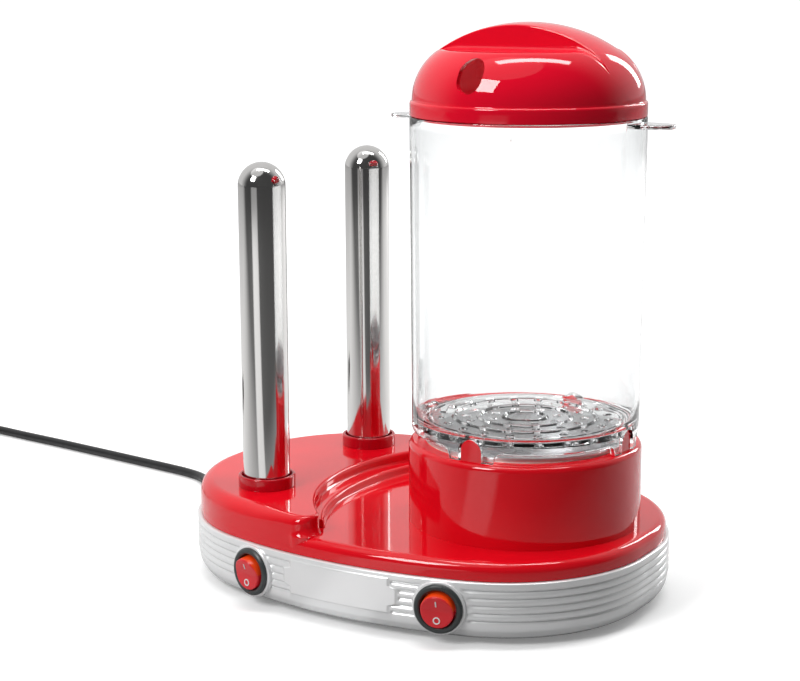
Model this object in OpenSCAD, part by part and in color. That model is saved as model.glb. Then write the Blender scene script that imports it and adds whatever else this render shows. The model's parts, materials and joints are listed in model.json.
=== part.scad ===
/* [Base] */
// Length of the red cover at its foot
cover_l = 237; // [230:1:244]
// Depth of the red cover at its foot
cover_w = 172; // [168:1:178]
// How far the ribbed band stands proud of the cover
band_out = 1.5; // [1:0.1:2.5]
// Height of the band's lower edge above the table
band_z0 = 3; // [2.6:0.1:4]
// Height of the joint between band and cover
band_z1 = 30.5; // [29:0.5:32]
// Top of the low deck around the steamer
deck_low = 39; // [37:0.5:40]
// Top of the high deck under the spikes
deck_high = 48.5; // [46:0.5:50]
// Top of the middle ledge of the curved step
ledge_z = 43.2; // [42:0.1:44]
// Wall thickness of the plastic shells
wall = 2.4; // [2:0.1:2.8]
// Number of grooves around the band
groove_n = 5; // [3:1:5]
// Distance between grooves
groove_pitch = 3.55; // [3:0.05:3.6]

/* [Steamer] */
// Radius of the red drum under the container
drum_r = 55.5; // [54:0.5:56]
// Height of the seat on the drum
drum_z = 78; // [74:0.5:80]
// Radius of the concave step around the drum
step_r = 100.5; // [98:0.5:103]
// Outer radius of the container at its foot
cont_r0 = 54; // [53.5:0.1:54.2]
// Outer radius of the container at its rim
cont_r1 = 54.9; // [54.4:0.1:55.2]
// Height of the container's rim above the table
cont_z1 = 231.3; // [200:0.1:260]
// Wall of the clear container
cont_wall = 2; // [1.6:0.1:2.2]
// Height of the lid's dome above its rim
dome_h = 35.5; // [33:0.5:38]

/* [Spikes] */
// Radius of each bun warming spike
spike_r = 11.5; // [10:0.1:12]
// Height of the spike tips above the table
spike_z1 = 207; // [180:1:230]
// Half the distance between the spikes
spike_y = 46.5; // [44:0.5:48]

/* [Switches] */
// Radius of the switch bezels
bezel_r = 11.5; // [11.2:0.1:11.8]
// Travel of each rocker from off to on, in degrees
rocker_travel = 18; // [14:1:20]

/* [Cord] */
// Diameter of the power cord
cord_d = 5.2; // [4.8:0.1:6]

/* [Hidden] */
$fn = 96;
e = 0.01;

// Base outline: four corner arcs, two long side arcs and two short flat ends.
bx = -3;
corner_r = 74;
half_l = cover_l / 2;
half_w = cover_w / 2;
cx = half_l - corner_r;
cy = 6;
side_c = (cx * cx + cy * cy - pow(half_w - corner_r, 2)) / (2 * (half_w - corner_r - cy));
side_r = half_w + side_c;
side_a = atan2(cx, cy + side_c);

// Steamer axis and spike line
ax = 50.5;
sx = -68;
seat_r = 44.4;
floor_z = 86;
skirt_z = 82;
lid_z = cont_z1 + 0.1;
dome_z = lid_z + 6.9;
dome_a = 53.8;
crown_r = 75;
shelf_z = 261.2;
fin_t = 12.5;

// Cord exit, turned from the left end towards the rear
exit_a = 15.4;
cord_y = 26;
cord_z = 16;

// Switches
sw_x = 51.2;
sw_z = 17.4;
sw_n = 13;
piv = -1;
rock_r = 7.9;

function q(a, i) = a[min(max(i, 0), len(a) - 1)];
function cat(p, i, t) = 0.5 * ((2 * q(p, i)) + (q(p, i + 1) - q(p, i - 1)) * t
  + (2 * q(p, i - 1) - 5 * q(p, i) + 4 * q(p, i + 1) - q(p, i + 2)) * t * t
  + (3 * q(p, i) - q(p, i - 1) - 3 * q(p, i + 1) + q(p, i + 2)) * t * t * t);
function smooth(p, k) = concat(
  [for (i = [0 : len(p) - 2], j = [0 : k - 1]) cat(p, i, j / k)], [p[len(p) - 1]]);
function unit(v) = v / norm(v);
function dirs(p) = [for (i = [0 : len(p) - 1]) unit(q(p, i + 1) - q(p, i - 1))];

// A round tube swept along points that never run straight up
module sweep(p, r, n) {
  d = dirs(p);
  m = len(p);
  pts = [for (i = [0 : m - 1])
    let (s = unit(cross(d[i], abs(d[i][2]) > 0.9 ? [1, 0, 0] : [0, 0, 1])), u = cross(s, d[i]))
    for (k = [0 : n - 1]) p[i] + r * (cos(360 * k / n) * s + sin(360 * k / n) * u)];
  faces = concat([[for (k = [0 : n - 1]) n - 1 - k]], [[for (k = [0 : n - 1]) (m - 1) * n + k]],
    [for (i = [0 : m - 2], k = [0 : n - 1])
      [i * n + k, i * n + (k + 1) % n, (i + 1) * n + (k + 1) % n, (i + 1) * n + k]]);
  polyhedron(pts, faces, convexity = 6);
}

// Points of the base outline, anticlockwise, grown by o
function arc(x, y, r, a0, a1, n) = [for (i = [0 : n])
  let (a = a0 + (a1 - a0) * i / n) [bx + x + r * cos(a), y + r * sin(a)]];
function outline_pts(o) = concat(
  arc(cx, cy, corner_r + o, 0, 90 - side_a - 5, 11),
  arc(0, -side_c, side_r + o, 90 - side_a, 90 + side_a, 12),
  arc(-cx, cy, corner_r + o, 90 + side_a + 5, 180, 11),
  arc(-cx, -cy, corner_r + o, 180, 270 - side_a - 5, 11),
  arc(0, side_c, side_r + o, 270 - side_a, 270 + side_a, 12),
  arc(cx, -cy, corner_r + o, 270 + side_a + 5, 360, 11));

module outline(o = 0) {
  polygon(outline_pts(o));
}

// Solid through outlines of growth and height [[o, z], ...], from the bottom up
module loft(l) {
  n = len(outline_pts(0));
  m = len(l);
  polyhedron([for (v = l, p = outline_pts(v[0])) [p[0], p[1], v[1]]],
    concat([[for (k = [0 : n - 1]) k]], [[for (k = [0 : n - 1]) m * n - 1 - k]],
      [for (i = [0 : m - 2], k = [0 : n - 1])
        [(i + 1) * n + k, (i + 1) * n + (k + 1) % n, i * n + (k + 1) % n, i * n + k]]), convexity = 4);
}

// Ring through a closed loop of growths and heights, clockwise seen from the end of the outline's run
module loop(l) {
  n = len(outline_pts(0));
  m = len(l);
  polyhedron([for (v = l, p = outline_pts(v[0])) [p[0], p[1], v[1]]],
    [for (i = [0 : m - 1], k = [0 : n - 1])
      [((i + 1) % m) * n + k, ((i + 1) % m) * n + (k + 1) % n, i * n + (k + 1) % n, i * n + k]],
    convexity = 6);
}

module block(o, z0, z1) {
  translate([0, 0, z0]) linear_extrude(z1 - z0) outline(o);
}

module at_axis(z = 0) {
  translate([ax, 0, z]) children();
}

module tube(r0, r1, h) {
  difference() {
    cylinder(r = r1, h = h);
    translate([0, 0, -1]) cylinder(r = r0, h = h + 2);
  }
}

module at_spikes(z = 0) {
  for (s = [-1, 1]) translate([sx, s * spike_y, z]) children();
}

// Frame of a switch: z outwards, y up, x along the band
module at_switch(s) {
  translate([s * sw_x, -half_w - band_out + (s > 0 ? 4.9 : 3.6), sw_z])
    rotate([0, 0, s * sw_n]) rotate([90, 0, 0]) children();
}

module top_cover() {
  color([0.86, 0.06, 0.10]) {
    difference() {
      union() {
        loft([[-0.3, band_z1], [-0.3, deck_low - 4.4], [-0.7, deck_low - 2.6], [-1.9, deck_low - 1],
          [-4.4, deck_low]]);
        difference() {
          loft([[-0.3, deck_low - 5], [-0.3, deck_high - 6.5], [-0.9, deck_high - 3.8],
            [-2.3, deck_high - 1.8], [-4.3, deck_high - 0.5], [-6.8, deck_high]]);
          at_axis(deck_low) cylinder(r = step_r, h = 60);
          translate([-14, -100, deck_low]) cube([240, 200, 60]);
        }
        intersection() {
          block(-3.5, deck_low - 4, ledge_z);
          translate([-100, -100, 0]) cube([80, 200, 100]);
          at_axis() difference() {
            cylinder(r = step_r + 4, h = 100);
            translate([0, 0, deck_low]) cylinder(r = step_r - 8, h = 60);
          }
        }
        at_axis(deck_low - 5) cylinder(r = drum_r, h = drum_z - 3 - deck_low + 5);
        at_axis(drum_z - 3 - e) rotate_extrude() {
          square([drum_r - 3, 3 + e]);
          intersection() {
            translate([drum_r - 3, 0]) circle(3);
            square([drum_r, 3]);
          }
        }
      }
      block(-0.3 - wall, 0, deck_low - wall);
      difference() {
        block(-0.3 - wall - 1.5, 0, deck_high - wall);
        at_axis() cylinder(r = step_r + wall, h = 90);
      }
      at_axis(20) cylinder(r = drum_r - wall, h = drum_z - wall - 20);
      at_axis(60) cylinder(r = seat_r, h = 60);
      at_spikes(30) cylinder(r = spike_r + 0.1, h = 40);
    }
    difference() {
      block(-0.4 - wall, band_z1 - 3, band_z1 + 2);
      block(-0.4 - 2 * wall, band_z1 - 5, band_z1 + 5);
    }
    difference() {
      block(-1.2, band_z1, band_z1 + 2);
      block(-0.4 - 2 * wall, band_z1 - 5, band_z1 + 5);
    }
    for (k = [0 : 3]) at_axis(drum_z - e) rotate([0, 0, 90 * k]) intersection() {
      tube(50.4, 52.8, 12);
      translate([40, 0, 0]) rotate([90, 0, 90]) linear_extrude(20) {
        translate([-5.3, 0]) square([10.6, 5]);
        translate([0, 5]) circle(5.3);
      }
    }
    for (p = boss_p) translate([p[0], p[1], 14])
      tube(1.6, 4.2, (p[0] < 0 ? deck_high : deck_low) - wall - 14 + 0.3);
  }
}

boss_p = [[-92, -44], [-92, 44], [64, -60], [64, 60]];
foot_p = [[-78, -48], [-78, 48], [74, -48], [74, 48]];

module base_band() {
  color([0.84, 0.84, 0.85]) difference() {
    union() {
      difference() {
        loop([[band_out - 6.4, band_z0], [band_out - 3.4, band_z0 + 1.8], [band_out - 1.4, band_z0 + 4.3],
          [band_out, band_z0 + 8.6], [band_out, band_z1 - 1], [band_out - 0.7, band_z1], [-wall, band_z1],
          [-wall, band_z0 + 9], [-9, band_z0 + wall], [-9, band_z0]]);
        for (i = [0 : groove_n - 1]) translate([0, 0, band_z1 - 5 - i * groove_pitch])
          linear_extrude(1.7) difference() {
          square([400, 400], center = true);
          outline(band_out - 1.1);
        }
      }
      for (s = [-1, 1]) intersection() {
        at_switch(s) translate([0, 0, -4.4]) cylinder(r = 13.4, h = 4.4);
        translate([-200, -200, band_z0 + 1]) cube([400, 130, band_z1 - band_z0 - 1.05]);
      }
      plaque();
    }
    for (s = [-1, 1]) at_switch(s) translate([0, 0, -30]) cylinder(r = 10, h = 50);
    at_cord(-10) cylinder(r = 4.3, h = 20);
  }
}

// Frame of the cord's exit: z straight out of the band's left end
module at_cord(z = 0) {
  translate([bx - cx - (corner_r + band_out) * cos(exit_a),
      cy + (corner_r + band_out) * sin(exit_a), cord_z])
    rotate([0, 0, -exit_a]) rotate([0, -90, 0]) translate([0, 0, z]) children();
}

// Blank badge plaque with bracket-shaped ends, standing on the band between the switches
module plaque() {
  difference() {
    translate([0, -60, 0]) rotate([90, 0, 0]) linear_extrude(28.6) {
      translate([-26.5, 11.6]) square([53, 16.6]);
      for (s = [-1, 1]) translate([s * 26.5, 19.9]) circle(4.2);
      translate([-29, 15.7]) square([58, 8.4]);
    }
    block(-1, 0, 60);
    translate([0, 0, -5]) linear_extrude(70) difference() {
      square([400, 400], center = true);
      outline(band_out + 0.5);
    }
  }
}

module bottom_plate() {
  color([0.16, 0.16, 0.17]) difference() {
    translate([0, 0, band_z0]) linear_extrude(wall) outline(-9.2);
    for (p = boss_p) translate([p[0], p[1], 0]) cylinder(r = 2, h = 20);
    for (p = boss_p) translate([p[0], p[1], 0]) cylinder(r = 4, h = band_z0 + 1.4);
    for (p = foot_p) translate([p[0], p[1], 0]) cylinder(r = 3, h = 20);
    for (i = [-4 : 4]) translate([ax + i * 7 - 1.25, -22, 0]) cube([2.5, 44, 20]);
  }
}

module rubber_feet() {
  color([0.07, 0.07, 0.07]) for (p = foot_p) translate([p[0], p[1], 0]) {
    cylinder(r = 8, h = band_z0);
    translate([0, 0, band_z0 - e]) cylinder(r = 2.9, h = wall + 0.2);
    translate([0, 0, band_z0 + wall + 0.1]) cylinder(r = 4.2, h = 1.6);
  }
}

module case_screws() {
  color([0.7, 0.7, 0.72]) for (p = boss_p) translate([p[0], p[1], 0]) difference() {
    union() {
      translate([0, 0, band_z0 - 0.9]) cylinder(r = 3.6, h = 2.2);
      translate([0, 0, band_z0]) cylinder(r = 1.55, h = 24);
    }
    for (a = [0, 90]) rotate([0, 0, a]) translate([-2, -0.4, 0]) cube([4, 0.8, band_z0]);
  }
}

module spike_collar() {
  color([0.72, 0.02, 0.06]) rotate_extrude() difference() {
    union() {
      translate([0, 0]) square([13, 6]);
      square([14, 5]);
      intersection() {
        translate([13, 5]) circle(1);
        translate([12, 4]) square([3, 3]);
      }
    }
    translate([-1, -1]) square([spike_r + 0.35 + 1, 8]);
    translate([-1, 3.4]) square([spike_r + 0.9 + 1, 8]);
  }
}

module spike_tube() {
  h = spike_z1 - spike_r + 0.8 - 36;
  color([0.78, 0.78, 0.8]) rotate_extrude() difference() {
    union() {
      square([spike_r, h]);
      translate([0, h]) intersection() {
        circle(spike_r);
        square([spike_r, spike_r]);
      }
    }
    translate([-1, -1]) square([spike_r - 0.8 + 1, h + 1]);
    translate([0, h]) intersection() {
      circle(spike_r - 0.8);
      translate([0, -e]) square(spike_r);
    }
    translate([-e, h - 1]) square([e, 40]);
  }
}

module spike_heater() {
  color([0.9, 0.88, 0.8]) {
    cylinder(r = 3.2, h = 146);
    for (z = [14, 70, 136]) translate([0, 0, z]) cylinder(r = 5, h = 4);
  }
}

module spike_plugs() {
  color([0.93, 0.91, 0.85]) at_spikes(36) difference() {
    union() {
      translate([0, 0, -e]) cylinder(r = spike_r - 0.85, h = 8);
      translate([0, 0, -2]) cylinder(r = spike_r + 1.5, h = 2);
    }
    translate([0, 0, -3]) cylinder(r = 3.3, h = 20);
    for (s = [-1, 1]) translate([s * 6, 0, -3]) cylinder(r = 1.2, h = 20);
  }
}

module spike_nuts() {
  color([0.75, 0.72, 0.6]) at_spikes(deck_high - wall - 5.1) difference() {
    cylinder(r = 17, h = 5, $fn = 6);
    translate([0, 0, -1]) cylinder(r = spike_r + 0.05, h = 8);
  }
}

module boiler_pan() {
  color([0.8, 0.8, 0.81]) at_axis() difference() {
    union() {
      translate([0, 0, 64]) cylinder(r = 43.6, h = drum_z + 2.4 - 64);
      translate([0, 0, drum_z + 1.2]) cylinder(r = 48, h = 1.2);
      translate([0, 0, 56]) cylinder(r = 3, h = 9);
    }
    translate([0, 0, 65.4]) cylinder(r = 42.4, h = 30);
    translate([0, 0, 55]) cylinder(r = 1.5, h = 8);
  }
}

module pan_seal() {
  color([0.85, 0.83, 0.8]) at_axis(drum_z) {
    tube(43.7, 47.5, 1.2);
    translate([0, 0, -2.4]) tube(43.7, 44.3, 2.4 + e);
  }
}

module boiler_heater() {
  color([0.45, 0.45, 0.46]) at_axis(60.7) {
    sweep([for (i = [0 : 24]) [27 * cos(110 + 320 * i / 24), 27 * sin(110 + 320 * i / 24), 0]], 3.2, 12);
    for (a = [118, 62]) rotate([0, 0, a]) translate([27, 0, -16]) cylinder(r = 2.4, h = 16);
    for (a = [118, 62]) rotate([0, 0, a]) translate([27, 0, -22]) cylinder(r = 1.2, h = 7);
  }
}

module heater_strap() {
  color([0.66, 0.66, 0.66]) at_axis() difference() {
    union() {
      translate([-32, -6, 54.5]) cube([64, 12, 1.5]);
      for (s = [-1, 1]) translate([s * 32 - 0.75, -6, 54.5]) cube([1.5, 12, 6]);
    }
    translate([0, 0, 50]) cylinder(r = 1.8, h = 10);
  }
}

module strap_screw() {
  color([0.72, 0.72, 0.74]) at_axis() {
    translate([0, 0, 52.2]) cylinder(r = 3.2, h = 2.3);
    translate([0, 0, 54]) cylinder(r = 1.45, h = 7);
  }
}

module thermostat() {
  color([0.55, 0.55, 0.57]) translate([ax, -14, 56.8]) {
    cylinder(r = 7.8, h = 7.2);
    for (s = [-1, 1]) translate([s * 4 - 0.4, -2.4, -7]) cube([0.8, 4.8, 7.2]);
  }
}

module thermal_fuse() {
  color([0.75, 0.75, 0.75]) translate([ax - 6, 14, 61.9]) rotate([0, 90, 0]) {
    cylinder(r = 2, h = 12);
    translate([0, 0, -8]) cylinder(r = 0.5, h = 28);
  }
}

module switch_housing(s) {
  color([0.22, 0.25, 0.25]) at_switch(s) difference() {
    union() {
      rotate_extrude() {
        square([bezel_r, 1.2]);
        square([bezel_r - 0.6, 1.8]);
        intersection() {
          translate([bezel_r - 0.6, 1.2]) circle(0.6);
          square([bezel_r, 3]);
        }
      }
      translate([0, 0, -17]) cylinder(r = 9.9, h = 17 + e);
    }
    translate([0, 0, -10]) cylinder(r = 8.6, h = 20);
    rotate([0, 90, 0]) translate([-piv, 0, -9.4]) cylinder(r = 1.25, h = 18.8);
  }
}

module rocker_shape() {
  intersection() {
    translate([0, 0, -4]) cylinder(r = rock_r, h = 12);
    rotate([90, 0, 90]) translate([0, 0, -12]) linear_extrude(24)
      polygon([[-9, -3.6], [9, -3.6], [9, 5.2 + 0.2], [0, 3.9], [-9, 5.2 + 0.2]]);
  }
  rotate([0, 90, 0]) translate([0, 0, -9.2]) cylinder(r = 1.2, h = 18.4);
}

module rocker(s) {
  color([0.86, 0.16, 0.20]) at_switch(s) translate([0, 0, piv]) rotate([rocker_travel / 2, 0, 0])
    rocker_shape();
}

module switch_terminals() {
  color([0.8, 0.7, 0.4]) for (s = [-1, 1]) at_switch(s) for (k = [-1 : 1])
    translate([-2.4, k * 5 - 0.4, -25]) cube([4.8, 0.8, 8]);
}

module indicator_lamps() {
  color([0.9, 0.45, 0.2]) for (s = [-1, 1]) at_switch(s) translate([-3, 0, -7.9]) rotate([0, 90, 0])
    cylinder(r = 1.8, h = 6);
}

module terminal_block() {
  color([0.92, 0.92, 0.9]) translate([-72, 10, band_z0 + wall]) difference() {
    cube([12, 32, 14]);
    for (k = [0 : 2]) translate([-1, 6 + k * 10, 7]) rotate([0, 90, 0]) cylinder(r = 1.8, h = 14);
    for (k = [0 : 2]) translate([6, 6 + k * 10, 9]) cylinder(r = 1.6, h = 10);
  }
}

module at_clamp() {
  translate([cord_x0, cy + (corner_r + band_out) * sin(exit_a), 0]) rotate([0, 0, -exit_a])
    translate([20, 0, 0]) children();
}

module cord_clamp() {
  color([0.2, 0.2, 0.2]) at_clamp() difference() {
    translate([-4, -12, band_z0 + wall]) cube([8, 24, cord_z - band_z0 - wall + 5.6]);
    translate([-10, 0, cord_z]) rotate([0, 90, 0]) cylinder(r = cord_d / 2 + 0.05, h = 20);
    for (s = [-1, 1]) translate([0, s * 8, 0]) cylinder(r = 1.6, h = 40);
  }
}

module clamp_screws() {
  color([0.72, 0.72, 0.74]) at_clamp() for (s = [-1, 1]) translate([0, s * 8, 0]) {
    translate([0, 0, cord_z + 5.7]) cylinder(r = 3, h = 2);
    translate([0, 0, cord_z - 5]) cylinder(r = 1.5, h = 11);
  }
}

module wire(p) {
  sweep(smooth(p, 4), 0.9, 6);
}

module lead_wires() {
  t = -59.6;
  color([0.25, 0.35, 0.75]) {
    wire([[t, 16, 12.4], [-54, 10, 14], [-52, -12, 18], [-50, -40, 17.4], [-45.8, -60.3, 17.4]]);
    wire([[t, 26, 12.4], [-50, 30, 16], [-50, 40, 24], [-58, 45.5, 29], [-62, 46.5, 33.6]]);
    wire([[t, 16, 15], [-53, 6, 22], [-52, -24, 27], [-57, -43, 30], [-62, -46.5, 33.6]]);
    wire([[t, 36, 12.4], [-30, 44, 20], [10, 40, 30], [33.5, 30, 34], [37.8, 23.8, 39]]);
    wire([[t, 26, 15], [-20, 20, 24], [20, -20, 24], [40, -44, 18], [45.8, -59, 17.4]]);
    wire([[45.9, -58.8, 12.4], [50, -30, 20], [60, 0, 30], [62, 19, 34], [63.2, 23.8, 39]]);
    wire([[-86.9, 16.2, 16.9], [-82, 16, 15], [-77, 16, 12.8], [-72.4, 16, 12.4]]);
    wire([[-86.9, 17.7, 15], [-82, 20, 14], [-77, 25, 12.8], [-72.4, 26, 12.4]]);
  }
}

module container() {
  wall_h = cont_z1 - skirt_z - 3;
  color([0.85, 0.92, 0.96, 0.45]) at_axis() {
    difference() {
      union() {
        translate([0, 0, skirt_z + 3]) cylinder(r1 = cont_r0, r2 = cont_r1, h = wall_h);
        translate([0, 0, skirt_z]) rotate_extrude() {
          square([cont_r0 - 3, 3 + e]);
          intersection() {
            translate([cont_r0 - 3, 3]) circle(3);
            square([cont_r0, 3 + e]);
          }
        }
        for (s = [0, 180]) rotate([0, 0, s]) translate([0, 0, 227.8]) {
          translate([50, -8, 0]) cube([15, 16, 2]);
          translate([65, 0, 0]) cylinder(r = 8, h = 2);
        }
        rotate([0, 0, -70]) translate([54, -0.6, cont_z1 - 7]) cube([1.4, 1.2, 6.9]);
        for (k = [0 : 3], s = [-1, 1]) rotate([0, 0, 90 * k + s * 9.4]) intersection() {
          translate([0, 0, drum_z + 0.1]) tube(cont_r0 - 3.2, cont_r0 - 0.2, 6);
          translate([40, -3, drum_z]) cube([20, 6, 10]);
        }
      }
      translate([0, 0, floor_z + 2.2])
        cylinder(r1 = cont_r0 - cont_wall, r2 = cont_r1 - cont_wall, h = cont_z1 - floor_z - 2.2 + e);
      translate([0, 0, skirt_z - 10]) cylinder(r = cont_r0 - 3, h = floor_z - skirt_z + 10);
      for (k = [0 : 3]) rotate([0, 0, 90 * k]) translate([48.6, 0, drum_z - 2]) rotate([90, 0, 90])
        linear_extrude(8) {
        translate([-5.9, 0]) square([11.8, 7]);
        translate([0, 7]) circle(5.9);
      }
      for (r = [[16, 8], [28, 14], [40, 20]], k = [0 : r[1] - 1])
        rotate([0, 0, 360 * k / r[1]])
        translate([r[0], 0, floor_z - 5]) cylinder(r = 2.2, h = 20);
    }
    for (r = [10, 22, 34]) translate([0, 0, floor_z + 2.2 - e]) tube(r - 0.8, r + 0.8, 1.3);
  }
}

// Half section of the dome, moved in by o, above height z
function dome_pts(o, z) = let (zc = dome_z + dome_h - crown_r,
  rr = (crown_r * crown_r - dome_a * dome_a - pow(crown_r - dome_h, 2)) / (2 * (crown_r - dome_a)),
  th = atan2(crown_r - dome_h, dome_a - rr)) concat([[0, z]], [[dome_a - o, z]],
  [for (i = [0 : 8]) [dome_a - rr + (rr - o) * cos(th * i / 8), dome_z + (rr - o) * sin(th * i / 8)]],
  [for (i = [1 : 8]) [(crown_r - o) * cos(th + (90 - th) * i / 8),
    zc + (crown_r - o) * sin(th + (90 - th) * i / 8)]]);

module lid() {
  color([0.90, 0.02, 0.12]) at_axis() difference() {
    union() {
      difference() {
        rotate_extrude() polygon(dome_pts(0, lid_z));
        for (s = [0, 180]) rotate([0, 0, s])
          translate([-60, -60 - fin_t, shelf_z]) cube([120, 60, 40]);
      }
      translate([0, 0, lid_z]) cylinder(r = 54.8, h = 6.9);
      translate([0, 0, lid_z - 4.5]) cylinder(r = 52.2, h = 5);
    }
    difference() {
      rotate_extrude() polygon(dome_pts(2.2, lid_z + 2));
      for (s = [0, 180]) rotate([0, 0, s])
        translate([-60, -60 - fin_t + 2.2, shelf_z - 2.2]) cube([120, 60, 40]);
    }
    translate([0, 0, lid_z - 10]) cylinder(r = 50.2, h = 14);
    rotate([0, 0, -3]) translate([0, -30, 251.5]) rotate([90, 0, 0]) linear_extrude(40)
      polygon([for (k = [0 : 23]) let (a = 7.5 + 15 * k)
        [6.4 * cos(a), 6.4 * sin(a) + (a < 180 ? 1.3 : -1.3)]]);
  }
}

// Cord: out of the left end, down to the table, along it and into a flat coil of two layers
cord_x0 = bx - cx - (corner_r + band_out) * cos(exit_a);
table_z = cord_d / 2 + 0.1;
cord_p = [[-129, 28.4, 16], [-136, 30.3, 15.9], [-144, 32.7, 15.5], [-157, 38.5, 13.2], [-170, 47, 9.4],
  [-182, 57.5, 5.8], [-194, 68, 3.4],
  [-206, 76.4, table_z], [-219, 80, table_z], [-236, 82.4, table_z],
  [-256, 84.7, table_z], [-280, 87.4, table_z],
  [-306, 90.2, table_z], [-332, 93, table_z], [-360, 95.5, table_z],
  [-386, 97.8, table_z + 0.2], [-408, 99, 3.2],
  [-424, 99.4, 3.5], [-438, 99.3, 3.5]];
tail_p = [[-469.3, 68, 8.9], [-469.3, 60, 8.7], [-469.3, 52, 8], [-469.3, 44, 7.2], [-469.3, 36, 6.9],
  [-469.3, 30, 6.9]];
coil_x = -438;
coil_y = 68;

module strain_relief() {
  color([0.06, 0.06, 0.06]) at_cord() difference() {
    union() {
      translate([0, 0, -5.3]) cylinder(r = 4.2, h = 6);
      translate([0, 0, 0.3]) cylinder(r = 5.6, h = 2.2);
      translate([0, 0, 2]) cylinder(r1 = 4.6, r2 = 3.4, h = 22);
      translate([0, 0, -9.3]) cylinder(r = 4.9, h = 4.1);
    }
    translate([0, 0, -12]) cylinder(r = cord_d / 2 + 0.05, h = 44);
  }
}

module power_cord() {
  color([0.05, 0.05, 0.05]) {
    at_cord(-34) cylinder(r = cord_d / 2, h = 42);
    sweep(concat([[-127, 27.84, 16]], smooth(cord_p, 3)), cord_d / 2, 10);
  }
}

module cord_tail() {
  color([0.05, 0.05, 0.05]) sweep(smooth(tail_p, 2), cord_d / 2, 10);
}

module cord_coil() {
  color([0.05, 0.05, 0.05]) translate([coil_x, coil_y, 0.9]) tube(23.5, 34.1, 10.6);
}

module cord_tie() {
  color([0.9, 0.9, 0.9]) translate([coil_x, coil_y - 28.8, 6.25]) difference() {
    cube([4, 12.4, 12.3], center = true);
    cube([5, 10.8, 10.8], center = true);
  }
}

module plug_body() {
  color([0.05, 0.05, 0.05]) translate([-469.3, 0, 0]) {
    translate([0, 0, 0.1]) linear_extrude(13.7)
      polygon([[-17.5, -4], [17.5, -4], [17.5, 4], [12, 18], [9, 29], [-9, 29], [-12, 18], [-17.5, 4]]);
    translate([0, 45, 6.9]) rotate([90, 0, 0]) difference() {
      cylinder(r1 = 3.6, r2 = 5.2, h = 16.5);
      translate([0, 0, -1]) cylinder(r = cord_d / 2 + 0.05, h = 15);
    }
    for (s = [-1, 1]) translate([s * 9.3, -4 + e, 6.9]) rotate([90, 0, 0]) cylinder(r = 1.85, h = 10);
  }
}

module plug_pins() {
  color([0.8, 0.8, 0.8]) for (s = [-1, 1]) translate([-469.3 + s * 9.3, -14, 6.9]) rotate([90, 0, 0]) {
    cylinder(r = 2, h = 8);
    translate([0, 0, 8]) cylinder(r1 = 2, r2 = 1.2, h = 1);
  }
}

top_cover();
base_band();
bottom_plate();
rubber_feet();
case_screws();
translate([sx, -spike_y, deck_high]) spike_collar();  // spike_collar_front
translate([sx, spike_y, deck_high]) spike_collar();  // spike_collar_rear
translate([sx, -spike_y, 36]) spike_tube();  // spike_tube_front
translate([sx, spike_y, 36]) spike_tube();  // spike_tube_rear
translate([sx, -spike_y, 35]) spike_heater();  // spike_heater_front
translate([sx, spike_y, 35]) spike_heater();  // spike_heater_rear
spike_plugs();
spike_nuts();
boiler_pan();
pan_seal();
boiler_heater();
heater_strap();
strap_screw();
thermostat();
thermal_fuse();
switch_housing(-1);  // switch_housing_left
switch_housing(1);  // switch_housing_right
rocker(-1);  // rocker_left
rocker(1);  // rocker_right
switch_terminals();
indicator_lamps();
terminal_block();
cord_clamp();
clamp_screws();
lead_wires();
container();
lid();
strain_relief();
power_cord();
cord_tail();
cord_coil();
cord_tie();
plug_body();
plug_pins();
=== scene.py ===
import json
import math
import bpy
import bmesh
from mathutils import Matrix, Vector

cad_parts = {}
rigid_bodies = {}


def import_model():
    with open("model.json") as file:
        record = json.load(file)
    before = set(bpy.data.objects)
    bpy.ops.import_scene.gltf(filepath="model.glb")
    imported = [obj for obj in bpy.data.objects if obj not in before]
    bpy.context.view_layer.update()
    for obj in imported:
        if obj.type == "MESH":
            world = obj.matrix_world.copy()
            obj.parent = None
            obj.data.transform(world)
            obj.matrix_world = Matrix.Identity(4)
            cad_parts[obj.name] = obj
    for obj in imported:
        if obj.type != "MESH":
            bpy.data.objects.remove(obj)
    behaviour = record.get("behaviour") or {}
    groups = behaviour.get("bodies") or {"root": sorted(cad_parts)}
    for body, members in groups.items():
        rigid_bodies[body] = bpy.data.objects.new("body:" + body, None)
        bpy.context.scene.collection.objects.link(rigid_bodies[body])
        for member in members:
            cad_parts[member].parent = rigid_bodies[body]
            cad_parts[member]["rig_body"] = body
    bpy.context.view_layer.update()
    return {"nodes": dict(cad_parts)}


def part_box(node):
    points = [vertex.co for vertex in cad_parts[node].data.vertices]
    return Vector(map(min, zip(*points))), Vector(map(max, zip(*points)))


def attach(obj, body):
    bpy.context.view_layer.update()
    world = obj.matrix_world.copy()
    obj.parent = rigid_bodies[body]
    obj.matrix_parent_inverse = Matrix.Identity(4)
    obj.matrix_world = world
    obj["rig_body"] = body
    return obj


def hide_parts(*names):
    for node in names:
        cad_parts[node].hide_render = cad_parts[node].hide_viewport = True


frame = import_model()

NODES = frame["nodes"]
MM = 0.001
rad = math.radians


def mid(node):
    """Middle of a CAD node's box, in mm."""
    lo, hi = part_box(node)
    return (lo + hi) / 2 / MM


# ---------------------------------------------------------------- camera
sc = bpy.context.scene
sc.view_settings.view_transform = "Standard"
cam = bpy.data.objects.new("camera", bpy.data.cameras.new("camera"))
sc.collection.objects.link(cam)
sc.camera = cam
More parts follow.
